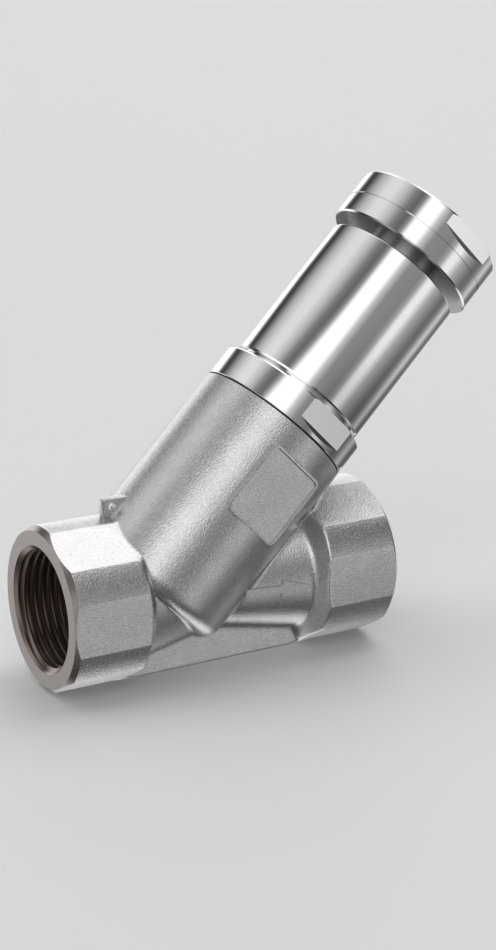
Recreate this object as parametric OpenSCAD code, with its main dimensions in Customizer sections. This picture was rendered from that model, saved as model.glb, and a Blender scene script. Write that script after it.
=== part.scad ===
// Angle-seat overflow valve with two internally threaded pipe ends.
// The pipe axis runs along +X from the inlet face at the origin, +Z is up,
// and the bonnet leans over the outlet in the XZ plane. Millimetres.

/* [Pipe ends] */
// Length of the body from face to face
face_to_face = 75; // [70:1:90]
// Width across the flats of each pipe end
port_af = 32.5; // [30.5:0.5:33.5]
// Radius of the turned corners of each pipe end
port_corner_r = 17.1; // [16.9:0.1:18]
// Length of the hexagon of each pipe end
port_len = 16.5; // [15:0.5:19]
// Length of the turned shoulder behind each hexagon
shoulder_len = 2.2; // [1.5:0.1:3]
// Outer radius of the flat ring of each end face
face_r = 16.1; // [15.6:0.1:16.2]
// Core radius of the pipe thread
thread_core_r = 12.06; // [11:0.02:12.5]
// Length of the threaded wall of each end
thread_len = 14.5; // [12:0.5:16]
// Radius of the mouth chamfer at the end face
mouth_r = 13.1; // [12.7:0.1:13.6]

/* [Cast body] */
// Distance from the inlet face to the point where bonnet and pipe axes cross
bonnet_x = 22.9; // [22:0.1:24]
// Angle between the bonnet axis and the pipe axis
bonnet_angle = 45; // [43:1:47]
// Outer radius of the body where it leaves a pipe end
pipe_end_r = 13.7; // [13:0.1:14.5]
// Outer radius of the body at its waist
waist_r = 9.7; // [9.4:0.1:10.5]
// Distance from the inlet face to the waist
waist_x = 36.5; // [35.5:0.5:38]
// Wall of the cast passages
cast_wall = 2.4; // [2:0.1:3]
// Outer radius of the boss that takes the bonnet
boss_r = 17.15; // [16.8:0.05:17.6]
// Height of the boss along the bonnet axis
boss_len = 43.7; // [40:0.1:50]
// Rounding of the closed end of the boss
boss_round = 3.2; // [1:0.1:5]
// Width of the keel rib under the body
keel_w = 7.2; // [5:0.1:9]

/* [Pad and seal lug] */
// Length of the cast pad along the boss
pad_len = 16.6; // [12:0.2:20]
// Width of the cast pad across the boss
pad_w = 14.8; // [10:0.2:18]
// Distance of the middle of the pad from the axes' crossing point
pad_mid = 30.2; // [26:0.2:32]
// Depth of the pad's field under the round of the boss
pad_depth = 0.4; // [0.15:0.05:0.9]
// Width of the raised border of the pad
pad_border = 0.7; // [0.4:0.1:1.5]
// Height of the raised border over the pad's field
pad_rise = 0.35; // [0.2:0.05:0.6]
// Corner radius of the pad
pad_corner_r = 1.6; // [0.8:0.1:3]
// Distance of the lug's free edge from the inlet face
lug_x = 13.9; // [12:0.1:15]
// Height of the lug's top edge over the pipe axis
lug_top = 20.9; // [20:0.1:22]
// Thickness of the lug
lug_t = 1.8; // [1.2:0.1:3]
// Radius of the seal-wire hole in the lug
lug_hole_r = 0.8; // [0.5:0.05:1]

/* [Seat and disc] */
// Width of the raised seat lip
seat_lip = 2.2; // [1.5:0.1:3]
// Height of the seat lip over the partition
seat_rise = 0.8; // [0.5:0.1:1.5]
// Height of the partition's underside along the bonnet axis
partition_base = 4.2; // [3.5:0.1:5]
// Thickness of the partition that carries the seat
partition_t = 3; // [2.5:0.1:4]
// Wall of the boss round the chamber over the seat
boss_wall = 3.85; // [3.6:0.05:4.5]
// Radial gap between the chamber and the valve disc
disc_gap = 1.7; // [1.3:0.1:2.3]
// Width of the disc's metal rim round the soft seal
disc_rim = 1; // [0.8:0.1:1.4]
// Width by which the soft seal laps over the seat lip
seal_lap = 0.4; // [0.2:0.1:0.8]
// Thickness of the valve disc at its rim
disc_t = 4.6; // [4:0.1:6]
// Thickness of the soft seal
seal_t = 2.4; // [1.5:0.1:3]
// Lift of the disc from shut to fully open
valve_lift = 5; // [3:0.5:7]

/* [Spindle and guide] */
// Radius of the spindle
spindle_r = 4; // [3.8:0.1:4.2]
// Radius of the threaded foot of the spindle
spindle_foot_r = 3; // [2.5:0.1:3.2]
// Radius of the collar's bore for the guide bush and the stem O-rings
bush_r = 6; // [5.8:0.1:6.2]
// Length of the guide bush
bush_len = 6; // [4:0.5:6.5]

/* [Bonnet] */
// Thickness of the body gasket
gasket_t = 0.4; // [0.3:0.1:1]
// Step from the round of the boss in to the collar
collar_step = 0.05; // [0:0.05:0.5]
// Height of the collar
collar_len = 6.8; // [5.5:0.1:9]
// Depth of the two wrench flats of the collar
collar_flat_depth = 1.1; // [0.5:0.1:2]
// Length of the collar's spigot in the body
spigot_len = 9.5; // [8:0.5:12]
// Width of the open groove between collar and spring housing
groove_w = 1.3; // [0.6:0.1:2]
// Outer radius of the spring housing
housing_r = 15.3; // [14.8:0.1:16]
// Length of the polished spring housing
housing_len = 33.7; // [32:0.1:40]
// Bore radius of the spring housing
housing_bore_r = 12.1; // [11.8:0.1:12.4]
// Radius of the rounded upper rim of the housing
rim_round = 0.5; // [0.3:0.1:1.2]
// Radius of the joint between collar and housing
joint_r = 13.8; // [13.2:0.1:14.2]
// Length of the joint between collar and housing
joint_len = 6; // [4:0.5:8]
// Thickness of the end wall that the adjusting screw runs in
end_wall_t = 6; // [5:0.5:6.5]

/* [Adjusting cap] */
// Outer radius of the cap
cap_r = 16.9; // [16.4:0.1:17.4]
// Height of the cap
cap_len = 11.1; // [10:0.1:13]
// Height of the plain lower ring under the fine groove
cap_ring_len = 5; // [3.5:0.1:6]
// Depth of the two wrench flats of the cap
cap_flat_depth = 1.4; // [0.5:0.1:1.8]
// Length of the wrench flats, measured down from the top
cap_flat_len = 3.0; // [2:0.1:3.6]
// Gap between housing and cap at the present setting
cap_gap = 2.2; // [2:0.1:3]
// Radius of the adjusting screw under the cap
screw_r = 8; // [7:0.1:8.6]
// Way that the cap can be screwed down from the present setting
cap_down = 1.88; // [0.5:0.01:1.9]
// Way that the cap can be screwed up from the present setting
cap_up = 3; // [1.5:0.1:3.2]

/* [Spring] */
// Wire diameter of the pressure spring
wire_d = 2.4; // [1.8:0.1:2.6]
// Mean coil radius of the pressure spring
coil_r = 9.2; // [8.8:0.1:9.4]
// Number of free turns of the pressure spring
spring_turns = 3; // [2:1:3]
// Thickness of each spring plate
plate_t = 2.2; // [1.8:0.1:2.6]
// Height of the pilot on each spring plate
pilot_len = 2; // [1:0.1:3]
// Thickness of the thrust washer
thrust_t = 1; // [0.8:0.1:1.5]
// Thickness of the retaining rings
circlip_t = 1; // [0.8:0.1:1.2]
// Free height under the lower plate's retaining ring, with the valve shut
rest_gap = 0.8; // [0.5:0.1:1.5]

/* [Fits] */
// Radial clearance of a running fit
run_gap = 0.05; // [0.02:0.01:0.1]
// Radial clearance of a screwed or slipped-in joint
joint_gap = 0.1; // [0.05:0.05:0.15]
// Clearance of a soft seal in its groove
seal_gap = 0.05; // [0.02:0.01:0.1]

/* [Hidden] */
$fn = 96;
eps = 0.01;

cast_grey = [0.62, 0.61, 0.60];
steel = [0.80, 0.80, 0.81];
polished = [0.86, 0.86, 0.87];
bronze = [0.72, 0.55, 0.33];
rubber = [0.10, 0.10, 0.11];
soft_white = [0.90, 0.90, 0.86];

// Heights along the bonnet axis, from the crossing of the two axes
partition_top = partition_base + partition_t;
seat_s = partition_top + seat_rise;
collar_s = boss_len + gasket_t;
spigot_s = boss_len - spigot_len;
collar_top = collar_s + collar_len;
housing_s = collar_top + groove_w;
joint_top = housing_s + joint_len;
rim_s = housing_s + housing_len;
end_wall_s = rim_s - end_wall_t;
cap_s = rim_s + cap_gap;
cap_top = cap_s + cap_len;
cap_groove_s = cap_s + cap_ring_len;

// Radii that follow the boss
collar_r = boss_r - collar_step;
chamber_r = boss_r - boss_wall;
disc_r = chamber_r - disc_gap;
seal_r = disc_r - disc_rim;
seat_bore_r = seal_r - seal_lap - seat_lip;
pad_y = boss_r - pad_depth;

// Stack of guide and stem seals in the collar
spigot_r = chamber_r - joint_gap;
guide_lip_t = 1.5;
bush_s = spigot_s + guide_lip_t;
stem_seal_r = (bush_r - spindle_r) / 2 - seal_gap;
seal_zone = 2 * stem_seal_r + 2 * seal_gap;
seals_s = bush_s + bush_len;
gland_s = seals_s + 2 * seal_zone;
gland_t = 1;
circlip_s = gland_s + gland_t;
circlip_bite = 0.6;
recess_s = circlip_s + circlip_t + 1.2;
recess_r = joint_r - 2.6;
spigot_seal_r = 0.8;
spigot_seal_s = spigot_s + 2.4;
housing_seal_r = 0.6;
housing_seal_s = housing_s + joint_len / 2;
cap_seal_r = 0.7;
cap_seal_s = rim_s - 2.4;

// Disc and spindle
shut_gap = 0.05;
seal_s = seat_s + shut_gap;
disc_top = seal_s + disc_t;
hub_r = spindle_r + 2.4;
hub_top = disc_top + 2.6;
washer_r = seat_bore_r - 1.2;
washer_t = 1.2;
washer_s = seal_s - washer_t;
nut_af = 10;
nut_t = 3;
nut_s = washer_s - nut_t;
foot_s = nut_s - 0.8;
foot_top = disc_top;
spindle_tip = cap_s + 1.5;

// Spring stack
thrust_top = end_wall_s - cap_up - 0.3;
thrust_s = thrust_top - thrust_t;
upper_plate_s = thrust_s - plate_t;
plate_circlip_s = recess_s + rest_gap;
lower_plate_s = plate_circlip_s + circlip_t;
spring_s = lower_plate_s + plate_t;
spring_len = upper_plate_s - spring_s;
pilot_r = coil_r - wire_d / 2 - 0.3;
plate_gap = 0.3;
lower_plate_r = recess_r - plate_gap;
upper_plate_r = housing_bore_r - joint_gap;
spindle_groove_d = 0.8;

// Casting
outlet_pipe_x = face_to_face - port_len - shoulder_len;
inlet_pipe_x = port_len + shoulder_len;
thread_end = thread_len + mouth_r - thread_core_r;
lug_hole = [lug_x + 2.1, lug_top - 1.6];
keel_depth = port_corner_r;

// Places children on the bonnet axis, with their +Z along it
module on_bonnet() {
    translate([bonnet_x, 0, 0]) rotate([0, 90 - bonnet_angle, 0]) children();
}

// Places children on the pipe axis, with their +Z along the flow
module on_pipe(x = 0) {
    translate([x, 0, 0]) rotate([0, 90, 0]) children();
}

// Ring of rectangular section
module ring(inner_r, outer_r, base, height) {
    translate([0, 0, base]) difference() {
        cylinder(r = outer_r, h = height);
        translate([0, 0, -eps]) cylinder(r = inner_r, h = height + 2 * eps);
    }
}

// O-ring with its section centred at the given radius and height
module o_ring(mean_r, section_r, height) {
    translate([0, 0, height]) rotate_extrude() translate([mean_r, 0]) circle(r = section_r, $fn = 32);
}

// Half space of the bonnet frame, below or above a height
module below(height) {
    on_bonnet() translate([-60, -60, height - 120]) cube([120, 120, 120]);
}

module above(height) {
    on_bonnet() translate([-60, -60, height]) cube([120, 120, 120]);
}

// Two opposite wrench flats with a sloped run-out at their lower end
module wrench_flats(radius, depth, base, top) {
    flat = radius - depth;
    for (side = [-1, 1]) translate([-radius, 0, 0]) rotate([90, 0, 90]) linear_extrude(2 * radius)
        polygon([[side * flat, base], [side * flat, top + 1],
                 [side * (radius + 1), top + 1], [side * (radius + 1), base - depth - 1]]);
}

// One hexagonal pipe end, face at the origin, pointing along +Z
module port_outside() {
    hex_r = port_af / 2 / cos(30);
    total = port_len + shoulder_len;
    chamfer = port_corner_r - face_r;
    intersection() {
        cylinder(r = hex_r, h = total, $fn = 6);
        union() {
            cylinder(r1 = face_r, r2 = port_corner_r, h = chamfer);
            translate([0, 0, chamfer]) cylinder(r = port_corner_r, h = port_len - chamfer);
            translate([0, 0, port_len]) cylinder(r1 = port_corner_r, r2 = pipe_end_r - 0.4, h = shoulder_len);
        }
    }
}

// Mouth chamfer, threaded wall and run-out of one pipe end
module port_inside(depth) {
    chamfer = mouth_r - thread_core_r;
    translate([0, 0, -eps]) cylinder(r1 = mouth_r + eps, r2 = thread_core_r, h = chamfer + eps);
    cylinder(r = thread_core_r, h = depth);
}

// Outer cone of the body between a pipe end and the waist
module neck_cone(wall) {
    on_pipe(port_len) cylinder(r1 = pipe_end_r - wall, r2 = waist_r - wall, h = waist_x - port_len);
    on_pipe(waist_x)
        cylinder(r1 = waist_r - wall, r2 = pipe_end_r - wall, h = face_to_face - port_len - waist_x);
}

// Boss of the body with its rounded closed end
module boss() {
    on_bonnet() rotate_extrude() {
        difference() {
            square([boss_r, boss_len]);
            translate([boss_r - boss_round, 0]) square([boss_round, boss_round]);
        }
        translate([boss_r - boss_round, boss_round]) intersection() {
            circle(r = boss_round);
            translate([0, -boss_round]) square(boss_round);
        }
    }
}

// Rounded rectangle centred on the origin
module rounded_plate(length, width, radius) {
    square([length - 2 * radius, width], center = true);
    square([length, width - 2 * radius], center = true);
    for (x = [-1, 1], y = [-1, 1])
        translate([x * (length / 2 - radius), y * (width / 2 - radius)]) circle(r = radius, $fn = 32);
}

// Places a flat outline on the front of the boss, its +Z pointing away from it
module on_pad(distance) {
    on_bonnet() translate([0, -distance, pad_mid]) rotate([90, 0, 0]) children();
}

// Keel rib between the two pipe ends
module keel() {
    translate([port_len, -keel_w / 2, -keel_depth])
        cube([face_to_face - 2 * port_len, keel_w, keel_depth - waist_r / 2]);
}

// Lug with the seal-wire hole, in the corner between inlet and boss
module seal_lug() {
    lug_root = 6;
    difference() {
        translate([lug_x, -lug_t / 2, port_af / 2 - 2])
            cube([lug_root, lug_t, lug_top - port_af / 2 + 2]);
        translate([lug_hole[0], 0, lug_hole[1]]) rotate([90, 0, 0])
            cylinder(r = lug_hole_r, h = lug_t + 2, center = true, $fn = 32);
    }
}

// Cast body with both pipe ends, the boss and the slanted partition with its seat
module valve_body() {
    color(cast_grey) difference() {
        union() {
            difference() {
                union() {
                    on_pipe() port_outside();
                    translate([face_to_face, 0, 0]) rotate([0, -90, 0]) port_outside();
                    neck_cone(0);
                    boss();
                    keel();
                    seal_lug();
                    on_pad(boss_r / 2) linear_extrude(pad_y + pad_rise - boss_r / 2)
                        rounded_plate(pad_w, pad_len, pad_corner_r);
                }
                on_pad(pad_y) linear_extrude(3)
                    rounded_plate(pad_w - 2 * pad_border, pad_len - 2 * pad_border, pad_corner_r - pad_border / 2);
                on_pad(pad_y + pad_rise) linear_extrude(3) rounded_plate(pad_w, pad_len, pad_corner_r);
                on_pipe() port_inside(thread_end);
                translate([face_to_face, 0, 0]) rotate([0, -90, 0]) port_inside(thread_end);
                intersection() {
                    inlet_passage();
                    below(partition_base);
                }
                intersection() {
                    outlet_passage();
                    above(partition_top);
                }
                on_bonnet() translate([0, 0, partition_top]) cylinder(r = chamber_r, h = boss_len);
            }
            on_bonnet() translate([0, 0, partition_base])
                cylinder(r = seat_bore_r + seat_lip, h = seat_s - partition_base);
        }
        on_bonnet() translate([0, 0, partition_base / 2]) cylinder(r = seat_bore_r, h = seat_s);
    }
}

// Cast way from the inlet thread to the underside of the partition
module inlet_passage() {
    on_pipe(thread_end - eps)
        cylinder(r1 = pipe_end_r - cast_wall, r2 = waist_r - cast_wall, h = waist_x - thread_end + eps);
    on_pipe(waist_x - eps) cylinder(r = waist_r - cast_wall, h = 3);
}

// Cast way from the chamber over the seat to the outlet thread
module outlet_passage() {
    on_pipe(waist_x - 3) cylinder(r = waist_r - cast_wall, h = 3 + eps);
    on_pipe(waist_x) cylinder(r1 = waist_r - cast_wall, r2 = pipe_end_r - cast_wall,
                              h = face_to_face - thread_end - waist_x + eps);
}

// Flat gasket between body and collar
module body_gasket() {
    color(rubber) on_bonnet() ring(chamber_r + 0.4, boss_r - 0.6, boss_len, gasket_t);
}

// Turned collar with two wrench flats, spigot, guide bore and upper joint
module bonnet_collar() {
    edge = 0.5;
    color(polished) on_bonnet() difference() {
        union() {
            translate([0, 0, spigot_s]) cylinder(r = spigot_r, h = spigot_len + gasket_t + eps);
            translate([0, 0, collar_s]) cylinder(r = collar_r, h = collar_len - edge);
            translate([0, 0, collar_top - edge]) cylinder(r1 = collar_r, r2 = collar_r - edge, h = edge);
            translate([0, 0, collar_top - eps]) cylinder(r = joint_r, h = groove_w + joint_len);
        }
        wrench_flats(collar_r, collar_flat_depth, collar_s + 1.9, collar_top);
        translate([0, 0, spigot_s - eps]) cylinder(r = spindle_r + 0.3, h = guide_lip_t + 2 * eps);
        translate([0, 0, bush_s]) cylinder(r = bush_r, h = recess_s - bush_s + eps);
        translate([0, 0, circlip_s]) cylinder(r = bush_r + circlip_bite, h = circlip_t);
        translate([0, 0, recess_s]) cylinder(r = recess_r, h = joint_top - recess_s + 1);
        o_ring_groove(spigot_r, spigot_seal_r, spigot_seal_s);
        o_ring_groove(joint_r, housing_seal_r, housing_seal_s);
    }
}

// Groove in an outer wall for an O-ring that fills the joint
module o_ring_groove(wall_r, section_r, height) {
    floor_r = wall_r + joint_gap - 2 * section_r - seal_gap;
    ring(floor_r, wall_r + 1, height - section_r - seal_gap, 2 * (section_r + seal_gap));
}

// O-ring that seals the spigot in the body
module spigot_seal() {
    color(rubber) on_bonnet()
        o_ring(chamber_r - seal_gap / 2 - spigot_seal_r, spigot_seal_r - seal_gap / 4, spigot_seal_s);
}

// O-ring that keeps dirt out of the joint between collar and housing
module housing_seal() {
    color(rubber) on_bonnet()
        o_ring(joint_r + joint_gap - seal_gap / 2 - housing_seal_r, housing_seal_r - seal_gap / 4, housing_seal_s);
}

// Guide bush of the spindle
module guide_bush() {
    color(bronze) on_bonnet() ring(spindle_r + run_gap, bush_r - seal_gap / 2, bush_s, bush_len);
}

// Two O-rings over the guide bush
module stem_seals() {
    color(rubber) on_bonnet() for (i = [0, 1])
        o_ring((spindle_r + bush_r) / 2, stem_seal_r, seals_s + (i + 0.5) * seal_zone);
}

// Ring that holds the stem seals down
module gland_ring() {
    color(bronze) on_bonnet() ring(spindle_r + run_gap, bush_r - seal_gap / 2, gland_s, gland_t);
}

// Sprung ring that snaps into the collar over the gland ring
module gland_circlip() {
    gap_w = 3;
    reach = 2 * bush_r;
    color(steel) on_bonnet() difference() {
        ring(spindle_r + 0.7, bush_r + circlip_bite - seal_gap, circlip_s + seal_gap, circlip_t - 2 * seal_gap);
        translate([0, -gap_w / 2, circlip_s]) cube([reach, gap_w, circlip_t]);
    }
}

// Polished spring housing, closed by the end wall with the thread of the adjusting screw
module spring_housing() {
    foot_edge = 0.35;
    color(polished) on_bonnet() difference() {
        union() {
            translate([0, 0, housing_s]) cylinder(r1 = housing_r - foot_edge, r2 = housing_r, h = foot_edge);
            translate([0, 0, housing_s + foot_edge])
                cylinder(r = housing_r, h = housing_len - foot_edge - rim_round);
            translate([0, 0, rim_s - rim_round]) rotate_extrude() {
                square([housing_r - rim_round, rim_round]);
                translate([housing_r - rim_round, 0]) intersection() {
                    circle(r = rim_round, $fn = 48);
                    square(rim_round);
                }
            }
        }
        translate([0, 0, housing_s - eps]) cylinder(r = joint_r + joint_gap, h = joint_len + 0.3 + eps);
        translate([0, 0, housing_s]) cylinder(r = housing_bore_r, h = end_wall_s - housing_s);
        translate([0, 0, end_wall_s - 1]) cylinder(r = screw_r + joint_gap, h = end_wall_t + 2);
        ring(screw_r, screw_r + joint_gap + 2 * cap_seal_r, cap_seal_s - cap_seal_r - seal_gap / 2,
             2 * cap_seal_r + seal_gap);
    }
}

// Spindle with threaded foot and the groove of its retaining ring
module spindle() {
    tip_edge = 0.6;
    color(steel) on_bonnet() difference() {
        union() {
            translate([0, 0, foot_s]) cylinder(r = spindle_foot_r, h = foot_top - foot_s + eps);
            translate([0, 0, foot_top]) cylinder(r = spindle_r, h = spindle_tip - tip_edge - foot_top);
            translate([0, 0, spindle_tip - tip_edge])
                cylinder(r1 = spindle_r, r2 = spindle_r - tip_edge, h = tip_edge);
        }
        ring(spindle_r - spindle_groove_d, spindle_r + 1, plate_circlip_s, circlip_t);
    }
}

// Valve disc, clamped on the foot of the spindle
module valve_disc() {
    rim_t = 1.2;
    color(steel) on_bonnet() difference() {
        union() {
            translate([0, 0, seal_s + rim_t]) cylinder(r = disc_r, h = disc_t - 2 * rim_t);
            translate([0, 0, seal_s + rim_t + eps]) mirror([0, 0, 1])
                cylinder(r1 = disc_r, r2 = disc_r - 0.4, h = rim_t - 0.4);
            translate([0, 0, disc_top - rim_t - eps]) cylinder(r1 = disc_r, r2 = disc_r - rim_t, h = rim_t + eps);
            translate([0, 0, disc_top - eps]) cylinder(r = hub_r, h = hub_top - disc_top);
        }
        translate([0, 0, seal_s - 1]) cylinder(r = seal_r, h = seal_t + 1);
        translate([0, 0, seal_s]) cylinder(r = spindle_foot_r + joint_gap, h = hub_top - seal_s + 1);
        translate([0, 0, foot_top]) cylinder(r = spindle_r + joint_gap, h = hub_top - foot_top + 1);
    }
}

// Soft seal that lands on the seat
module disc_seal() {
    color(soft_white) on_bonnet() ring(spindle_foot_r + joint_gap, seal_r - seal_gap, seal_s, seal_t);
}

// Washer that clamps the soft seal
module seal_washer() {
    color(steel) on_bonnet() ring(spindle_foot_r + joint_gap, washer_r, washer_s, washer_t);
}

// Hexagon nut on the foot of the spindle
module disc_nut() {
    color(steel) on_bonnet() difference() {
        translate([0, 0, nut_s]) cylinder(r = nut_af / 2 / cos(30), h = nut_t, $fn = 6);
        translate([0, 0, nut_s - 1]) cylinder(r = spindle_foot_r + run_gap, h = nut_t + 2);
    }
}

// Lower spring plate, carried by the spindle
module lower_spring_plate() {
    color(steel) on_bonnet() difference() {
        union() {
            translate([0, 0, lower_plate_s]) cylinder(r = lower_plate_r, h = plate_t);
            translate([0, 0, spring_s - eps]) cylinder(r = pilot_r, h = pilot_len);
        }
        translate([0, 0, lower_plate_s - 1]) cylinder(r = spindle_r + run_gap, h = plate_t + pilot_len + 2);
    }
}

// Sprung ring in the spindle under the lower plate
module plate_circlip() {
    gap_w = 3;
    reach = 2 * spindle_r;
    color(steel) on_bonnet() difference() {
        ring(spindle_r - spindle_groove_d + seal_gap, spindle_r + 2.2,
             plate_circlip_s + seal_gap, circlip_t - 2 * seal_gap);
        translate([0, -gap_w / 2, plate_circlip_s]) cube([reach, gap_w, circlip_t]);
    }
}

// Points of one round wire section at a step of the coil
function coil_ring(angle, height, sides) = [
    for (k = [0 : sides - 1])
        let (a = 360 * k / sides, r = coil_r + wire_d / 2 * cos(a))
            [r * cos(angle), r * sin(angle), height + wire_d / 2 * sin(a)]
];

// Height of the wire's middle at a turn, with one closed turn at each end
function coil_height(turn) =
    let (closed = wire_d * 1.02, free_turns = spring_turns, low = wire_d / 2 + 0.02,
         high = spring_len - wire_d / 2 - 0.02,
         pitch = (high - low - 2 * closed) / free_turns)
    turn < 1 ? low + closed * turn :
    turn < 1 + free_turns ? low + closed + pitch * (turn - 1) :
    high - closed * (2 + free_turns - turn);

// Pressure spring between the two plates
module pressure_spring() {
    sides = 10;
    per_turn = 24;
    steps = (spring_turns + 2) * per_turn;
    points = [
        for (i = [0 : steps])
            each coil_ring(360 * i / per_turn, coil_height(i / per_turn), sides)
    ];
    walls = [
        for (i = [0 : steps - 1], k = [0 : sides - 1])
            [i * sides + k, i * sides + (k + 1) % sides,
             (i + 1) * sides + (k + 1) % sides, (i + 1) * sides + k]
    ];
    first = [[for (k = [0 : sides - 1]) sides - 1 - k]];
    last = [[for (k = [0 : sides - 1]) steps * sides + k]];
    color(steel) on_bonnet() translate([0, 0, spring_s])
        polyhedron(points = points, faces = concat(walls, first, last));
}

// Upper spring plate, pushed down by the cap
module upper_spring_plate() {
    color(steel) on_bonnet() difference() {
        union() {
            translate([0, 0, upper_plate_s]) cylinder(r = upper_plate_r, h = plate_t);
            translate([0, 0, upper_plate_s - pilot_len]) cylinder(r = pilot_r, h = pilot_len + eps);
        }
        translate([0, 0, upper_plate_s - pilot_len - 1])
            cylinder(r = spindle_r + 0.4, h = plate_t + pilot_len + 2);
    }
}

// Thrust washer between upper plate and cap
module thrust_washer() {
    color(bronze) on_bonnet() ring(spindle_r + 0.5, screw_r + 1, thrust_s, thrust_t);
}

// Adjusting cap with wrench flats and a fine groove, on its hollow screw
module adjusting_cap() {
    top_edge = 0.6;
    foot_edge = 0.3;
    tip_edge = 0.8;
    groove = 0.25;
    color(polished) on_bonnet() difference() {
        union() {
            translate([0, 0, cap_s]) cylinder(r1 = cap_r - foot_edge, r2 = cap_r, h = foot_edge);
            translate([0, 0, cap_s + foot_edge]) cylinder(r = cap_r, h = cap_len - foot_edge - top_edge);
            translate([0, 0, cap_top - top_edge]) cylinder(r1 = cap_r, r2 = cap_r - top_edge, h = top_edge);
            translate([0, 0, thrust_top]) cylinder(r1 = screw_r - tip_edge, r2 = screw_r, h = tip_edge);
            translate([0, 0, thrust_top + tip_edge]) cylinder(r = screw_r, h = cap_s - thrust_top);
        }
        wrench_flats(cap_r, cap_flat_depth, cap_top - cap_flat_len, cap_top);
        ring(cap_r - groove, cap_r + 1, cap_groove_s - groove / 2, groove);
        translate([0, 0, thrust_top - 1])
            cylinder(r = spindle_r + 0.5, h = spindle_tip + valve_lift + cap_down + 0.4 - thrust_top + 1);
    }
}

// O-ring in the end wall that wipes the adjusting screw
module cap_seal() {
    color(rubber) on_bonnet()
        o_ring(screw_r + seal_gap / 2 + cap_seal_r, cap_seal_r - seal_gap / 4, cap_seal_s);
}

valve_body();
body_gasket();
bonnet_collar();
spigot_seal();
guide_bush();
stem_seals();
gland_ring();
gland_circlip();
spring_housing();
housing_seal();
spindle();
valve_disc();
disc_seal();
seal_washer();
disc_nut();
lower_spring_plate();
plate_circlip();
pressure_spring();
upper_spring_plate();
thrust_washer();
adjusting_cap();
cap_seal();
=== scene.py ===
from math import cos, pi, radians, sin, sqrt

import bmesh
import bpy
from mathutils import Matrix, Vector
from mathutils.kdtree import KDTree


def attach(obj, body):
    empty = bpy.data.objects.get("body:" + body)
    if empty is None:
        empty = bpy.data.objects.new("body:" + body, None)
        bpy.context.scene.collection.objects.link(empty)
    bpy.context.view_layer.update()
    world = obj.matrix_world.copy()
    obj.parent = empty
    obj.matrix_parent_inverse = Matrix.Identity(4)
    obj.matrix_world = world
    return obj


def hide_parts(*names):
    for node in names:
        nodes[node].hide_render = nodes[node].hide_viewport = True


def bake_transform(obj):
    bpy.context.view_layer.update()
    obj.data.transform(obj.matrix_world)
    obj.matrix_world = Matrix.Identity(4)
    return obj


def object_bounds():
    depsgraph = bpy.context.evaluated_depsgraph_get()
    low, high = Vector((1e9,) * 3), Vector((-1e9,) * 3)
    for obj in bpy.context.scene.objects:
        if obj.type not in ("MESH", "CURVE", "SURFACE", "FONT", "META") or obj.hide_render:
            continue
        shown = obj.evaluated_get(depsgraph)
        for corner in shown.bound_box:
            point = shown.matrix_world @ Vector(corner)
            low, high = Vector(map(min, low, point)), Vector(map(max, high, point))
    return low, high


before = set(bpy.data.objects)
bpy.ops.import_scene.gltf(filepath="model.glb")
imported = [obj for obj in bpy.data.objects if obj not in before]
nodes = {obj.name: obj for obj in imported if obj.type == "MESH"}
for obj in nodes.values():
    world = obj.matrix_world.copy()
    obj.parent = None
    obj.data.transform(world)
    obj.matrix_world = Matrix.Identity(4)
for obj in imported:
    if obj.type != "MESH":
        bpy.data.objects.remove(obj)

cad_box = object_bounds()
mm = 0.001

# The camera looks along the valve from its front left, a little from above,
# fitted to the hexagonal ends, the pad and the rims seen in the photograph.
IMAGE_WIDTH, IMAGE_HEIGHT = 496, 950
FOCAL_PIXELS = 1973.6
CENTRE_PIXELS = (264.8, 471.8)
SENSOR_HEIGHT = 24
CAMERA_PLACE = Vector((-0.15208, -0.34124, 0.13433))
CAMERA_TURN = radians(-30.9)
CAMERA_TILT = radians(15.9)
bpy.ops.object.camera_add(location=CAMERA_PLACE, rotation=(pi / 2 - CAMERA_TILT, 0, CAMERA_TURN))
camera = bpy.context.object
camera.name = "camera"
camera.data.sensor_fit = "VERTICAL"
camera.data.sensor_height = SENSOR_HEIGHT
camera.data.lens = FOCAL_PIXELS / IMAGE_HEIGHT * SENSOR_HEIGHT
camera.data.shift_x = (IMAGE_WIDTH / 2 - CENTRE_PIXELS[0]) / IMAGE_HEIGHT
camera.data.shift_y = (CENTRE_PIXELS[1] - IMAGE_HEIGHT / 2) / IMAGE_HEIGHT
camera.data.clip_start = 0.01
bpy.context.scene.camera = camera


def new_material(name, colour, metallic, roughness):
    """A new material, with its nodes, its links and its Principled shader."""
    made = bpy.data.materials.new(name)
    made.use_nodes = True
    look, links = made.node_tree.nodes, made.node_tree.links
    shader = look["Principled BSDF"]
    shader.inputs["Base Color"].default_value = (*colour, 1)
    shader.inputs["Metallic"].default_value = metallic
    shader.inputs["Roughness"].default_value = roughness
    return made, look, links, shader


# Plain pale floor that the keel rib and the pipe ends stand on. The metal
# shows the studio under it too, as on a glass table in a light tent.
FLOOR_SIZE = 30
FLOOR_Z = cad_box[0][2]
bpy.ops.mesh.primitive_plane_add(size=FLOOR_SIZE, location=(0, 0, FLOOR_Z))
floor = bpy.context.object
floor.name = "floor"
floor.visible_glossy = False
floor_paint = new_material("floor_paint", colour=(0.86, 0.86, 0.86), metallic=0, roughness=0.7)[0]
floor.data.materials.append(floor_paint)

# Studio light: a tent of light and dark strips along the bonnet, which the
# turned steel shows as its long bands, with a bright patch overhead and white
# paper below. The camera sees a plain pale wall instead.
BONNET_ANGLE = pi / 4
BONNET = Vector((sin(BONNET_ANGLE), 0, cos(BONNET_ANGLE)))
TENT_FRONT = Vector((-0.389, -0.835, 0.389))
TENT_RIGHT = Vector((0.590, -0.550, -0.590))

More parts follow.
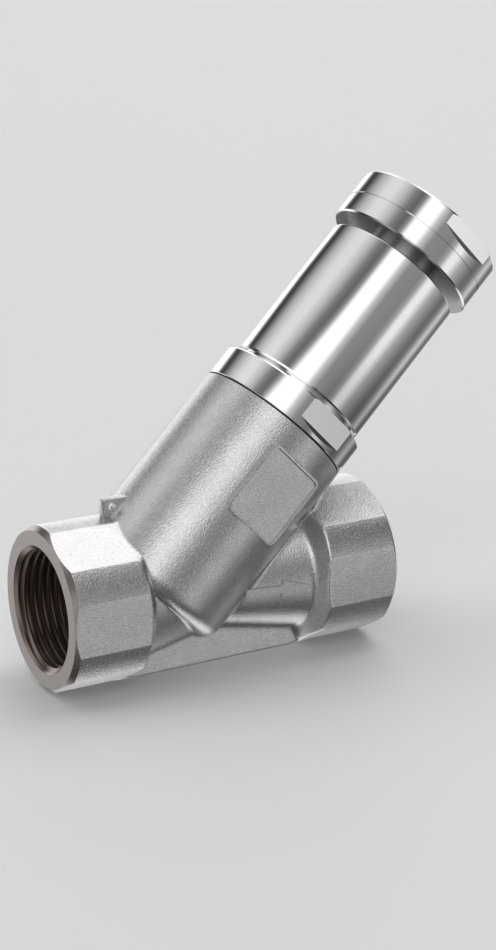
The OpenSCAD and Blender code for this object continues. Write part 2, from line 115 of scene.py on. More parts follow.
# Each strip has its angle round the bonnet, in degrees from the front to the
# right, and its brightness. TENT_LENGTH does the same from foot to top.
TENT_STRIPS = [(-216, 0.1), (-188, 0.78), (-150, 1.70), (-138, 0.16), (-129, 0.035), (-120, 0.15),
               (-104, 0.53), (-85, 0.85), (-70, 0.87), (-55, 0.59), (-42, 0.24), (-31, 0.14),
               (-24, 0.32), (-17, 1.30), (1, 1.30), (8, 0.65), (18, 0.30), (42, 0.265), (50, 0.42),
               (57, 1.00), (65, 1.02), (78, 0.46), (92, 0.265), (104, 0.16), (113, 0.21), (121, 0.44),
               (129, 0.68), (137, 0.38), (147, 0.14), (160, 0.28), (169, 0.66), (180, 1)]
TENT_LENGTH = [(0.15, 0.45), (0.38, 1), (0.565, 1.15), (0.58, 1.12), (0.595, 1), (0.80, 1), (0.88, 0.60),
               (0.93, 0.12)]

# Where the strips draw together, the dark card, the patches and the wall.
DRAWN_ALONG = (0.144, 0.242)
DRAWN_ROUND = (-0.59, 0)
DRAWN_MOST = 0.39
DRAWN_TO = -1.29
CARD_ALONG = (0.205, 0.242)
CARD_ROUND = (0.3, 0.8)
CARD_DIMMING = 0.36
OVERHEAD = Vector((0.40, 0.20, 0.89)).normalized()
OVERHEAD_EDGES = (0.80, 0.93)
OVERHEAD_LEVEL = 1.6
PAPER_BELOW = Vector((0.10, 0.40, -0.91)).normalized()
PAPER_EDGES = (0.86, 0.95)
PAPER_LEVEL = 1.1
WALL_LEVEL = 0.80
world = bpy.data.worlds.new("studio")
bpy.context.scene.world = world
world.use_nodes = True
tent, tent_links = world.node_tree.nodes, world.node_tree.links
ray = tent.new("ShaderNodeTexCoord").outputs["Generated"]


def feed(socket, value):
    """Links an input of the tent to another node's output, or sets it to a fixed value."""
    if isinstance(value, bpy.types.NodeSocket):
        tent_links.new(value, socket)
    else:
        socket.default_value = value


def tent_part(direction):
    """How far a ray in the tent points along a direction, from -1 to 1."""
    part = tent.new("ShaderNodeVectorMath")
    part.operation = "DOT_PRODUCT"
    feed(part.inputs[0], ray)
    feed(part.inputs[1], direction)
    return part.outputs["Value"]


def tent_sum(kind, first, second):
    """A sum of two values of the tent, of the kind that is named."""
    made = tent.new("ShaderNodeMath")
    made.operation = kind
    feed(made.inputs[0], first)
    feed(made.inputs[1], second)
    return made.outputs[0]


def tent_map(value, low, high, at_low, at_high, curve="LINEAR"):
    """A value of the tent brought from one range to another and kept inside it."""
    made = tent.new("ShaderNodeMapRange")
    made.interpolation_type = curve
    feed(made.inputs["Value"], value)
    feed(made.inputs["From Min"], low)
    feed(made.inputs["From Max"], high)
    feed(made.inputs["To Min"], at_low)
    feed(made.inputs["To Max"], at_high)
    return made.outputs["Result"]


def grey(level):
    """An opaque grey."""
    return (level, level, level, 1)


def tent_ramp(place, stops):
    """Grey levels that run straight between (place, level) stops."""
    made = tent.new("ShaderNodeValToRGB")
    marks = made.color_ramp.elements
    marks[0].position = stops[0][0]
    marks[-1].position = stops[-1][0]
    for stop in stops[1:-1]:
        marks.new(stop[0])
    for mark, stop in zip(marks, stops):
        mark.color = grey(stop[1])
    feed(made.inputs["Fac"], place)
    return made.outputs["Color"]


def tent_mix(kind, amount, first, second):
    """Two colours of the tent, mixed or multiplied."""
    made = tent.new("ShaderNodeMix")
    made.data_type = "RGBA"
    made.blend_type = kind
    feed(made.inputs["Factor"], amount)
    feed(made.inputs["A"], first)
    feed(made.inputs["B"], second)
    return made.outputs["Result"]


along_ray = tent_part(BONNET)
round_ray = tent_sum("ARCTAN2", tent_part(TENT_RIGHT), tent_part(TENT_FRONT))

# On the left the strips draw together towards the pipe.
drawn = tent_sum("MULTIPLY", tent_map(along_ray, *DRAWN_ALONG, DRAWN_MOST, 0),
                 tent_map(round_ray, *DRAWN_ROUND, 1, 0))
moved = tent_sum("MULTIPLY", tent_sum("SUBTRACT", round_ray, DRAWN_TO), drawn)
round_tent = tent_sum("ADD", round_ray, moved)
first_strip, last_strip = TENT_STRIPS[0][0], TENT_STRIPS[-1][0]
strip_places = [((angle - first_strip) / (last_strip - first_strip), level) for angle, level in TENT_STRIPS]
strips = tent_ramp(tent_map(round_tent, radians(first_strip), radians(last_strip), 0, 1), strip_places)

# The tent fades towards both ends, and the dark card dims its right side.
along = tent_ramp(tent_map(along_ray, -1, 1, 0, 1), TENT_LENGTH)
right_card = tent_sum("MULTIPLY", tent_map(along_ray, *CARD_ALONG, CARD_DIMMING, 0),
                      tent_map(round_ray, *CARD_ROUND, 0, 1))
lit_tent = tent_mix("MULTIPLY", 1, strips, tent_mix("MIX", right_card, along, grey(0)))
overhead = tent_map(tent_part(OVERHEAD), *OVERHEAD_EDGES, 0, 1, "SMOOTHSTEP")
lit_tent = tent_mix("MIX", overhead, lit_tent, grey(OVERHEAD_LEVEL))
paper = tent_map(tent_part(PAPER_BELOW), *PAPER_EDGES, 0, 1, "SMOOTHSTEP")
lit_tent = tent_mix("MIX", paper, lit_tent, grey(PAPER_LEVEL))
from_camera = tent.new("ShaderNodeLightPath").outputs["Is Camera Ray"]
feed(tent["Background"].inputs["Color"], tent_mix("MIX", from_camera, lit_tent, grey(WALL_LEVEL)))

# Cast body: one stainless steel casting with two hexagonal pipe ends, the
# slanted boss, a keel rib and a seal lug, blasted, and then machined on its
# end faces, threads, boss top and seat.
BONNET_START = Vector((22.9, 0, 0)) * mm
BONNET_TURN = (0, BONNET_ANGLE, 0)
PIPE_TURN = (0, pi / 2, 0)
PIPE_BACK_TURN = (0, -pi / 2, 0)
HEXAGON_TURN = (pi / 2, pi / 3, pi / 2)

# Blanks and cutters reach this far past the faces that they meet, so that a
# cut leaves no thin skin behind.
OVER = 1 * mm
LENGTH = 75 * mm
PORT_FLATS = 32.5 * mm
PORT_CORNER_R = 17.1 * mm
PORT_LENGTH = 16.5 * mm
SHOULDER = 2.2 * mm
PIPE_END_R = 13.7 * mm
SHOULDER_SINK = 0.4 * mm
WAIST_R = 9.7 * mm
WAIST_X = 36.5 * mm
BOSS_R = 17.15 * mm
BOSS_LENGTH = 43.7 * mm
BOSS_OVER = 1.5 * mm
BOSS_ROUND = 3.2 * mm
KEEL_WIDTH = 7.2 * mm
KEEL_OVERLAP = 2 * mm


def on_bonnet(height):
    """The point of the bonnet's axis at a height over the pipe's axis."""
    return BONNET_START + BONNET * height


def bonnet_height(point):
    """How far up the bonnet's axis a point lies."""
    return (point - BONNET_START).dot(BONNET)


def bonnet_radius(point):
    """How far off the bonnet's axis a point lies."""
    return (point - on_bonnet(bonnet_height(point))).length


def pick(obj):
    """Makes obj the only selected and the active object."""
    bpy.ops.object.select_all(action="DESELECT")
    obj.select_set(True)
    bpy.context.view_layer.objects.active = obj


def settle(obj):
    """Puts an object's place, turn and size into its mesh."""
    pick(obj)
    bpy.ops.object.transform_apply(location=True, rotation=True, scale=True)
    return obj


def turned(place, turn, radius_1, radius_2, length, sides=192):
    """A cylinder or cone with its middle at a place."""
    bpy.ops.mesh.primitive_cone_add(vertices=sides, radius1=radius_1, radius2=radius_2, depth=length,
                                    location=place, rotation=turn)
    return settle(bpy.context.object)


def bonnet_bar(low, high, radius):
    """A cylinder on the bonnet's axis between two heights."""
    return turned(on_bonnet((low + high) / 2), BONNET_TURN, radius, radius, high - low)


def block(place, size, turn=(0, 0, 0)):
    """A box with its middle at a place."""
    bpy.ops.mesh.primitive_cube_add(size=1, location=place, rotation=turn, scale=size)
    return settle(bpy.context.object)


def clean(obj, reach=1e-7):
    """Merges double points and turns all normals outwards."""
    pick(obj)
    bpy.ops.object.mode_set(mode="EDIT")
    bpy.ops.mesh.select_all(action="SELECT")
    bpy.ops.mesh.remove_doubles(threshold=reach)
    bpy.ops.mesh.normals_make_consistent(inside=False)
    bpy.ops.object.mode_set(mode="OBJECT")
    return obj


def choose(obj, kind, test):
    """Selects only those edges or faces of obj, in edit mode, that pass a test."""
    bpy.ops.mesh.select_mode(type=kind)
    bpy.ops.mesh.select_all(action="DESELECT")
    shape = bmesh.from_edit_mesh(obj.data)
    for part in shape.edges if kind == "EDGE" else shape.faces:
        if test(part):
            part.select_set(True)
    bmesh.update_edit_mesh(obj.data)


def outline(name, profile):
    """An open line through (height, radius) points beside the local Z axis."""
    points = [(radius, 0, height) for height, radius in profile]
    edges = [(i, i + 1) for i in range(len(points) - 1)]
    mesh = bpy.data.meshes.new(name)
    mesh.from_pydata(points, edges, [])
    obj = bpy.data.objects.new(name, mesh)
    bpy.context.collection.objects.link(obj)
    return obj


def lathe(profile, place, turn, steps=192):
    """The solid that (height, radius) points sweep when they turn once about the local Z axis."""
    obj = outline("lathe", profile)
    pick(obj)
    bpy.ops.object.mode_set(mode="EDIT")
    bpy.ops.mesh.select_all(action="SELECT")
    bpy.ops.mesh.spin(steps=steps, angle=2 * pi, center=(0, 0, 0), axis=(0, 0, 1))
    bpy.ops.object.mode_set(mode="OBJECT")
    clean(obj)
    obj.location = place
    obj.rotation_euler = turn
    return settle(obj)


def apply(obj, modifier):
    """Puts a modifier's result into the object's mesh."""
    pick(obj)
    bpy.ops.object.modifier_apply(modifier=modifier.name)


def combine(obj, other, how, solver="MANIFOLD"):
    """Joins the other solid to obj, cuts it out or keeps what both share, and removes the other."""
    modifier = obj.modifiers.new("combine", "BOOLEAN")
    modifier.object = other
    modifier.operation = how
    modifier.solver = solver
    apply(obj, modifier)
    bpy.data.objects.remove(other)


def pipe_end(face_x, turn):
    """A hexagonal end with turned corners and shoulder. Its blank is a little too long at the face."""
    inwards = 1 if face_x == 0 else -1
    total = PORT_LENGTH + SHOULDER + OVER
    middle = face_x + inwards * (total / 2 - OVER)
    bpy.ops.mesh.primitive_cylinder_add(vertices=6, radius=PORT_FLATS / 2 / cos(pi / 6), depth=total,
                                        location=(middle, 0, 0), rotation=HEXAGON_TURN)
    hexagon = settle(bpy.context.object)
    profile = [(-2 * OVER, 0), (-2 * OVER, PORT_CORNER_R), (PORT_LENGTH, PORT_CORNER_R),
               (PORT_LENGTH + SHOULDER, PIPE_END_R - SHOULDER_SINK), (PORT_LENGTH + SHOULDER, 0)]
    combine(hexagon, lathe(profile, (face_x, 0, 0), turn), "INTERSECT", "EXACT")
    return hexagon


sharp = pipe_end(0, PIPE_TURN)
combine(sharp, pipe_end(LENGTH, PIPE_BACK_TURN), "UNION")
inlet_length = WAIST_X - PORT_LENGTH
outlet_length = LENGTH - PORT_LENGTH - WAIST_X
combine(sharp, turned((PORT_LENGTH + inlet_length / 2, 0, 0), PIPE_TURN, PIPE_END_R, WAIST_R, inlet_length),
        "UNION")
combine(sharp, turned((WAIST_X + outlet_length / 2, 0, 0), PIPE_TURN, WAIST_R, PIPE_END_R, outlet_length),
        "UNION")
boss = bonnet_bar(0, BOSS_LENGTH + BOSS_OVER, BOSS_R)
bpy.ops.object.mode_set(mode="EDIT")
choose(boss, "EDGE", lambda edge: all(bonnet_height(end.co) < 0.01 * mm for end in edge.verts))
bpy.ops.mesh.bevel(offset=BOSS_ROUND, segments=10, affect="EDGES")
bpy.ops.object.mode_set(mode="OBJECT")
combine(sharp, boss, "UNION")
keel_top = -WAIST_R / 2
keel_size = (LENGTH - 2 * PORT_LENGTH + 2 * KEEL_OVERLAP, KEEL_WIDTH, PORT_CORNER_R + keel_top)
combine(sharp, block((LENGTH / 2, 0, (keel_top - PORT_CORNER_R) / 2), keel_size), "UNION")

# The casting's hollow corners get broad fillets and its edges small rounds, so
# the sharp union is filled with an even grid and then smoothed near them.
SHARP_ANGLE = radians(24)
MARK_STEP = 0.2 * mm
CASTING_GRID = 0.25 * mm
CASTING_KEPT = 0.25
hollow_edges, outer_edges = [], []
shape = bmesh.new()
shape.from_mesh(sharp.data)
for edge in shape.edges:
    bend = edge.calc_face_angle_signed(0)
    if abs(bend) < SHARP_ANGLE:
        continue
    start, end = (corner.co for corner in edge.verts)
    pieces = max(2, int(edge.calc_length() / MARK_STEP))
    marks = [start.lerp(end, i / pieces) for i in range(pieces + 1)]
    (outer_edges if bend > 0 else hollow_edges).extend(marks)
shape.free()
body = sharp.copy()
body.data = sharp.data.copy()
bpy.context.collection.objects.link(body)
body.name = "valve_body_cast"
grid = body.modifiers.new("grid", "REMESH")
grid.mode = "VOXEL"
grid.voxel_size = CASTING_GRID
apply(body, grid)
wrap = body.modifiers.new("wrap", "SHRINKWRAP")
wrap.target = sharp
apply(body, wrap)
bpy.data.objects.remove(sharp)


def soften(obj, marks, near, far, rounds):
    """Smooths obj near the marks, fully up to the near distance and not at all past the far one."""
    tree = KDTree(len(marks))
    for i, mark in enumerate(marks):
        tree.insert(mark, i)
    tree.balance()
    group = obj.vertex_groups.new(name="soften")
    for corner in obj.data.vertices:
        distance = tree.find(corner.co)[2]
        if distance < far:
            weight = min(1, (far - distance) / (far - near))
            group.add([corner.index], weight, "REPLACE")
    smooth = obj.modifiers.new("smooth", "SMOOTH")
    smooth.factor = 0.5
    smooth.iterations = rounds
    smooth.vertex_group = group.name
    apply(obj, smooth)
    obj.vertex_groups.remove(obj.vertex_groups["soften"])


soften(body, hollow_edges, near=0.9 * mm, far=1.8 * mm, rounds=40)
soften(body, outer_edges, near=0.3 * mm, far=0.8 * mm, rounds=6)
thin = body.modifiers.new("thin", "DECIMATE")
thin.ratio = CASTING_KEPT
apply(body, thin)

# Lug for the seal wire, a thin upright plate cast in the corner between inlet
# and boss. Its hole is drilled below, with the rest of the machining.
LUG_X = 13.9 * mm
LUG_TOP = 20.9 * mm
LUG_ROOT = 6 * mm
LUG_THICKNESS = 1.8 * mm
LUG_EDGE = 0.2 * mm
LUG_SINK = 2 * mm
lug_height = LUG_TOP - PORT_FLATS / 2 + LUG_SINK
lug = block((LUG_X + LUG_ROOT / 2, 0, LUG_TOP - lug_height / 2), (LUG_ROOT, LUG_THICKNESS, lug_height))
bpy.ops.object.mode_set(mode="EDIT")
bpy.ops.mesh.select_all(action="SELECT")
bpy.ops.mesh.bevel(offset=LUG_EDGE, segments=2, affect="EDGES")
bpy.ops.object.mode_set(mode="OBJECT")
combine(body, lug, "UNION")

# Pad on the front of the boss with a raised border. The round of the boss is
# cut back to the pad's field, which is left bare.
PAD_MIDDLE = 30.2 * mm
PAD_LENGTH = 16.6 * mm
PAD_WIDTH = 14.8 * mm
PAD_FIELD_Y = 16.65 * mm
PAD_RISE = 0.45 * mm
PAD_CORNER = 1.6 * mm
PAD_BORDER = 0.7 * mm
PAD_BEVEL = 0.15 * mm
PAD_BACK = 8 * mm
PAD_CLEARED = 5 * mm


def plate(front, back):
    """The pad's rounded outline between two distances in front of the bonnet's axis."""
    obj = block(on_bonnet(PAD_MIDDLE) - Vector((0, (front + back) / 2, 0)),
                (PAD_WIDTH, front - back, PAD_LENGTH), BONNET_TURN)
    bpy.ops.object.mode_set(mode="EDIT")
    choose(obj, "EDGE", lambda edge: abs((edge.verts[0].co - edge.verts[1].co).normalized().y) > 0.99)
    bpy.ops.mesh.bevel(offset=PAD_CORNER, segments=6, affect="EDGES")
    bpy.ops.object.mode_set(mode="OBJECT")
    return obj


combine(body, plate(PAD_FIELD_Y + PAD_CLEARED, PAD_FIELD_Y), "DIFFERENCE")
pad = plate(PAD_FIELD_Y + PAD_RISE - PAD_BEVEL / 2, PAD_BACK)
pick(pad)
bpy.ops.object.mode_set(mode="EDIT")
choose(pad, "FACE", lambda face: face.normal.y < -0.99)
bpy.ops.mesh.inset(thickness=PAD_BEVEL)
bpy.ops.transform.translate(value=(0, -PAD_BEVEL / 2, 0))
bpy.ops.mesh.inset(thickness=PAD_BORDER - 2 * PAD_BEVEL)
bpy.ops.mesh.inset(thickness=PAD_BEVEL)
bpy.ops.transform.translate(value=(0, PAD_RISE, 0))
bpy.ops.mesh.select_mode(type="VERT")
bpy.ops.object.mode_set(mode="OBJECT")
combine(body, pad, "UNION")

# Flow arrow, cast as a low flat plateau on the front of the outlet's cone. Its
# outline is in millimetres from the inlet's face and from the pipe's axis.
ARROW = [(41.0, -1.4), (41.3, 0.06), (49.2, -0.06), (49.2, 1.26), (55.5, -0.75), (48.95, -2.64),
         (48.95, -1.54)]
ARROW_FRONT = 16 * mm
ARROW_DEPTH = 8 * mm
ARROW_RISE = 0.45 * mm
arrow_mesh = bpy.data.meshes.new("arrow")
arrow_mesh.from_pydata([(x * mm, -ARROW_FRONT, z * mm) for x, z in ARROW], [], [range(len(ARROW))])
arrow = bpy.data.objects.new("arrow", arrow_mesh)
bpy.context.collection.objects.link(arrow)
pick(arrow)
bpy.ops.object.mode_set(mode="EDIT")
bpy.ops.mesh.select_all(action="SELECT")
bpy.ops.mesh.extrude_region_move(TRANSFORM_OT_translate={"value": (0, ARROW_DEPTH, 0)})
bpy.ops.object.mode_set(mode="OBJECT")
clean(arrow)
raised_cone = turned((WAIST_X + outlet_length / 2, 0, 0), PIPE_TURN, WAIST_R + ARROW_RISE,
                     PIPE_END_R + ARROW_RISE, outlet_length)
combine(arrow, raised_cone, "INTERSECT")
combine(body, arrow, "UNION")

# Machining of the casting: end faces with their chamfers, the boss top, the
# chamber with the raised seat, the ways between them and the seal-wire hole.
FACE_R = 16.1 * mm
CHAMBER_R = 13.3 * mm
PARTITION_BASE = 4.2 * mm
PARTITION_TOP = 7.2 * mm
SEAT_TOP = 8.0 * mm
SEAT_R = 8.0 * mm
SEAT_LIP = 2.2 * mm
SEAT_DRILLED = (2 * mm, 10 * mm)
WAY_END_R = 11.3 * mm
WAY_WAIST_R = 7.3 * mm
WAY_OVERLAP = 3 * mm
THREAD_END = 15.54 * mm
LUG_HOLE = Vector((16.0, 0, 19.3)) * mm
LUG_HOLE_R = 0.8 * mm
LUG_DRILL = 4 * mm
WIDE = 200 * mm
CUTTER_R = 19 * mm
CUTTER_LENGTH = 10 * mm
chamfer = PORT_CORNER_R - FACE_R
faced = [(0, 0), (0, FACE_R), (chamfer, PORT_CORNER_R), (chamfer, WIDE), (LENGTH - chamfer, WIDE),
         (LENGTH - chamfer, PORT_CORNER_R), (LENGTH, FACE_R), (LENGTH, 0)]
combine(body, lathe(faced, (0, 0, 0), PIPE_TURN), "INTERSECT")


def half_space(height, side):
    """A large block that starts at a height on the bonnet's axis and reaches to one side of it."""
    reach = 60 * mm
    return block(on_bonnet(height + side * reach / 2), (reach * 3, reach * 3, reach), BONNET_TURN)


combine(body, bonnet_bar(BOSS_LENGTH, BOSS_LENGTH + CUTTER_LENGTH, CUTTER_R), "DIFFERENCE")
combine(body, bonnet_bar(PARTITION_TOP, BOSS_LENGTH + OVER, CHAMBER_R), "DIFFERENCE")
inlet_way = lathe([(THREAD_END - OVER, 0), (THREAD_END - OVER, WAY_END_R), (THREAD_END, WAY_END_R),
                   (WAIST_X, WAY_WAIST_R), (WAIST_X + WAY_OVERLAP, WAY_WAIST_R),
                   (WAIST_X + WAY_OVERLAP, 0)], (0, 0, 0), PIPE_TURN)
combine(inlet_way, half_space(PARTITION_BASE, 1), "DIFFERENCE")
combine(body, inlet_way, "DIFFERENCE")
outlet_way = lathe([(WAIST_X - WAY_OVERLAP, 0), (WAIST_X - WAY_OVERLAP, WAY_WAIST_R),
                    (WAIST_X, WAY_WAIST_R), (LENGTH - THREAD_END, WAY_END_R),
                    (LENGTH - THREAD_END + OVER, WAY_END_R), (LENGTH - THREAD_END + OVER, 0)],
                   (0, 0, 0), PIPE_TURN)
combine(outlet_way, half_space(PARTITION_TOP, -1), "DIFFERENCE")
combine(body, outlet_way, "DIFFERENCE")
combine(body, bonnet_bar(PARTITION_BASE, SEAT_TOP, SEAT_R + SEAT_LIP), "UNION")
combine(body, bonnet_bar(*SEAT_DRILLED, SEAT_R), "DIFFERENCE")
combine(body, turned(LUG_HOLE, (pi / 2, 0, 0), LUG_HOLE_R, LUG_HOLE_R, LUG_DRILL, 32), "DIFFERENCE")

# Pipe threads, cut into both ends by a tap with rounded 55 degree teeth, and
# the plain run-out behind them.
CORE_R = 12.06 * mm
CREST_R = 13.15 * mm
PITCH = 1.814 * mm
CREST_ROUND = 0.12 * mm
RUN_OUT = 2 * mm
MOUTH_R = 13.1 * mm
TAP_TEETH = 9
TAP_START = -2 * mm
TAP_STEPS = 120


def tap(place, turn):
    """The solid that the thread removes: a core with a right-hand helix of teeth round it."""
    tooth = [(0.10, CORE_R), (0.42, CREST_R - CREST_ROUND), (0.50, CREST_R),
             (0.58, CREST_R - CREST_ROUND), (0.90, CORE_R)]
    profile = [(TAP_START, 0), (TAP_START, CORE_R)]
    for i in range(TAP_TEETH):
        profile += [(TAP_START + (i + part) * PITCH, radius) for part, radius in tooth]
    profile += [(TAP_START + TAP_TEETH * PITCH, CORE_R), (TAP_START + TAP_TEETH * PITCH, 0)]
    obj = outline("tap", profile)
    helix = obj.modifiers.new("helix", "SCREW")
    helix.axis = "Z"
    helix.angle = 2 * pi
    helix.screw_offset = PITCH
    helix.steps = TAP_STEPS
    helix.render_steps = TAP_STEPS
    apply(obj, helix)
    bpy.ops.object.mode_set(mode="EDIT")
    bpy.ops.mesh.select_all(action="SELECT")
    bpy.ops.mesh.remove_doubles(threshold=1e-7)
    bpy.ops.mesh.select_all(action="DESELECT")
    bpy.ops.mesh.select_non_manifold(extend=False)
    bpy.ops.mesh.edge_face_add()
    bpy.ops.object.mode_set(mode="OBJECT")
    clean(obj)
    obj.location = place
    obj.rotation_euler = turn
    return settle(obj)


for face_x, turn_in in ((0, PIPE_TURN), (LENGTH, PIPE_BACK_TURN)):
    inwards = 1 if face_x == 0 else -1
    run_out_x = face_x + inwards * (THREAD_END - RUN_OUT / 2)
    combine(body, turned((run_out_x, 0, 0), PIPE_TURN, CREST_R, CREST_R, RUN_OUT), "DIFFERENCE")
    mouth = lathe([(-OVER, 0), (-OVER, MOUTH_R), (0, MOUTH_R), (MOUTH_R - CORE_R, CORE_R),
                   (MOUTH_R - CORE_R, 0)], (face_x, 0, 0), turn_in)
    combine(body, mouth, "DIFFERENCE")
    combine(body, tap((face_x, 0, 0), turn_in), "DIFFERENCE")

clean(body, 1e-6)
CASTING_SMOOTH = radians(28)
bpy.ops.object.shade_smooth_by_angle(angle=CASTING_SMOOTH)


# Blasted casting skin: fine grain that breaks the light, with painted shade in
# its hollows and a faint patchiness from the mould.
GRAIN_SIZE = 0.32 * mm
GRAIN_DEPTH = 0.08 * mm
PATCHES_PER_METRE = 260
PATCHINESS = 0.3


def grain_group():
    """Node group: fine grain as a height and a tone, from the object's own coordinates."""
    group = bpy.data.node_groups.new("blasted_grain", "ShaderNodeTree")
    group.interface.new_socket("Grain Size", in_out="INPUT", socket_type="NodeSocketFloat")
    group.interface.new_socket("Height", in_out="OUTPUT", socket_type="NodeSocketFloat")
    group.interface.new_socket("Tone", in_out="OUTPUT", socket_type="NodeSocketFloat")
    inner, links = group.nodes, group.links
    taken = inner.new("NodeGroupInput")
    given = inner.new("NodeGroupOutput")
    where = inner.new("ShaderNodeTexCoord")
    fine = inner.new("ShaderNodeTexNoise")
    fine.inputs["Detail"].default_value = 2
    fine.inputs["Roughness"].default_value = 0.6
    patchy = inner.new("ShaderNodeTexNoise")
    patchy.inputs["Scale"].default_value = PATCHES_PER_METRE
    patchy.inputs["Detail"].default_value = 3
    many = inner.new("ShaderNodeMath")
    many.operation = "DIVIDE"
    many.inputs[0].default_value = 1
    links.new(taken.outputs["Grain Size"], many.inputs[1])
    links.new(many.outputs[0], fine.inputs["Scale"])
    links.new(where.outputs["Object"], fine.inputs["Vector"])
    links.new(where.outputs["Object"], patchy.inputs["Vector"])
    # The tone follows the grain's height, so its hollows come out darker: painted shade.
    tone = inner.new("ShaderNodeMix")
    tone.data_type = "FLOAT"
    tone.inputs["Factor"].default_value = PATCHINESS
    links.new(fine.outputs["Fac"], tone.inputs["A"])
    links.new(patchy.outputs["Fac"], tone.inputs["B"])
    links.new(fine.outputs["Fac"], given.inputs["Height"])
    links.new(tone.outputs["Result"], given.inputs["Tone"])
    return group


def raise_by(look, links, shader, height, depth):
    """Lets a height between 0 and 1 rise out of a material's surface by a depth."""
    bump = look.new("ShaderNodeBump")
    bump.inputs["Strength"].default_value = 1
    bump.inputs["Distance"].default_value = depth
    links.new(height, bump.inputs["Height"])
    links.new(bump.outputs["Normal"], shader.inputs["Normal"])


cast_steel, look, links, shader = new_material("cast_steel", (0.60, 0.585, 0.59), metallic=1, roughness=0.3)
grain = look.new("ShaderNodeGroup")
grain.node_tree = grain_group()
grain.inputs["Grain Size"].default_value = GRAIN_SIZE
# Grain colour: darker in the hollows as painted shade, with the mould's patches.
grain_tone_and_hollow_shade = look.new("ShaderNodeMix")
grain_tone_and_hollow_shade.data_type = "RGBA"
grain_tone_and_hollow_shade.inputs["A"].default_value = (0.44, 0.428, 0.434, 1)
grain_tone_and_hollow_shade.inputs["B"].default_value = (0.84, 0.826, 0.832, 1)
links.new(grain.outputs["Tone"], grain_tone_and_hollow_shade.inputs["Factor"])
links.new(grain_tone_and_hollow_shade.outputs["Result"], shader.inputs["Base Color"])
dull = look.new("ShaderNodeMapRange")
dull.inputs["To Min"].default_value = 0.32
dull.inputs["To Max"].default_value = 0.18
links.new(grain.outputs["Tone"], dull.inputs["Value"])
links.new(dull.outputs["Result"], shader.inputs["Roughness"])
raise_by(look, links, shader, grain.outputs["Height"], GRAIN_DEPTH)


# Turned steel of the end faces, boss top and seat, with the tool's fine rings,
# and the dark brown colour of the tapped threads, which is painted shade and painted warm reflection of the
# bore.
def rings_group():
    """Node group: fine lines left by turning, as a height, from a distance along or round the axis."""
    group = bpy.data.node_groups.new("turning_lines", "ShaderNodeTree")
    group.interface.new_socket("Distance", in_out="INPUT", socket_type="NodeSocketFloat")
    group.interface.new_socket("Lines", in_out="INPUT", socket_type="NodeSocketFloat")
    group.interface.new_socket("Height", in_out="OUTPUT", socket_type="NodeSocketFloat")
    inner, links = group.nodes, group.links
    taken = inner.new("NodeGroupInput")
    given = inner.new("NodeGroupOutput")
    lines = inner.new("ShaderNodeTexNoise")
    lines.noise_dimensions = "1D"
    lines.inputs["Detail"].default_value = 3
    links.new(taken.outputs["Distance"], lines.inputs["W"])
    links.new(taken.outputs["Lines"], lines.inputs["Scale"])
    links.new(lines.outputs["Fac"], given.inputs["Height"])
    return group


turning_lines = rings_group()


def machine_lines(look, links, shader, distance, lines, depth):
    """Gives a material the turning lines over a distance socket."""
    group = look.new("ShaderNodeGroup")
    group.node_tree = turning_lines
    group.inputs["Lines"].default_value = lines
    links.new(distance, group.inputs["Distance"])
    raise_by(look, links, shader, group.outputs["Height"], depth)


machined_steel, look, links, shader = new_material("machined_steel", (0.36, 0.33, 0.312), metallic=1,
                                                   roughness=0.26)
where = look.new("ShaderNodeTexCoord")
flatten = look.new("ShaderNodeVectorMath")
flatten.operation = "MULTIPLY"
flatten.inputs[1].default_value = (0, 1, 1)
links.new(where.outputs["Object"], flatten.inputs[0])
reach = look.new("ShaderNodeVectorMath")
reach.operation = "LENGTH"
links.new(flatten.outputs["Vector"], reach.inputs[0])
machine_lines(look, links, shader, reach.outputs["Value"], lines=6000, depth=0.003 * mm)
# Dark brown threads: painted shade and painted warm reflection inside the bore.
threads_painted_shade = new_material("threads_painted_shade", (0.28, 0.225, 0.20), metallic=1, roughness=0.28)[0]


def dress(obj, *materials):
    """Gives a piece its materials. The first is on all of its faces."""
    obj.data.materials.clear()
    for made in materials:
        obj.data.materials.append(made)


dress(body, cast_steel, machined_steel, threads_painted_shade)
CAST, MACHINED, SHADED_THREADS = 0, 1, 2
NEAR = 0.01 * mm
for face in body.data.polygons:
    spot = face.center
    from_end = min(spot.x, LENGTH - spot.x)
    pipe_radius = sqrt(spot.y ** 2 + spot.z ** 2)
    height = bonnet_height(spot)
    radius = bonnet_radius(spot)
    facing = abs(face.normal.dot(BONNET))
    off_wall = min(abs(radius - wall_r) for wall_r in (CHAMBER_R, SEAT_R, SEAT_R + SEAT_LIP))
    bored = facing < 0.01 and off_wall < 2 * NEAR
    planed = facing > 0.99 and radius < CHAMBER_R
    in_chamber = height > PARTITION_BASE + NEAR and from_end > THREAD_END
    end_face = from_end < chamfer and abs(face.normal.x) > 0.6
    boss_top = height > BOSS_LENGTH - NEAR and radius < BOSS_R + OVER
    # The tapped threads get the painted shade of the bore.
    if from_end < THREAD_END and pipe_radius < CREST_R + 0.1 * mm:
        face.material_index = SHADED_THREADS
    elif end_face or boss_top or in_chamber and (bored or planed):
        face.material_index = MACHINED
    else:
        face.material_index = CAST
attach(body, "housing")
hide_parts("valve_body")

# Flat gasket between the boss and the collar, a thin dark line all round.
gasket_paint, look, links, shader = new_material("gasket_fibre", (0.035, 0.035, 0.038), metallic=0,
                                                 roughness=0.75)


def speckle(look, links, shader, scale, depth):
    """Gives a material a fine uneven surface."""
    where = look.new("ShaderNodeTexCoord")
    noise = look.new("ShaderNodeTexNoise")
    noise.inputs["Scale"].default_value = scale
    links.new(where.outputs["Object"], noise.inputs["Vector"])
    raise_by(look, links, shader, noise.outputs["Fac"], depth)


speckle(look, links, shader, scale=3000, depth=0.02 * mm)


def paint(node_name, made):
    """Gives a CAD node its material."""
    for place in nodes[node_name].material_slots:
        place.material = made


paint("body_gasket", gasket_paint)

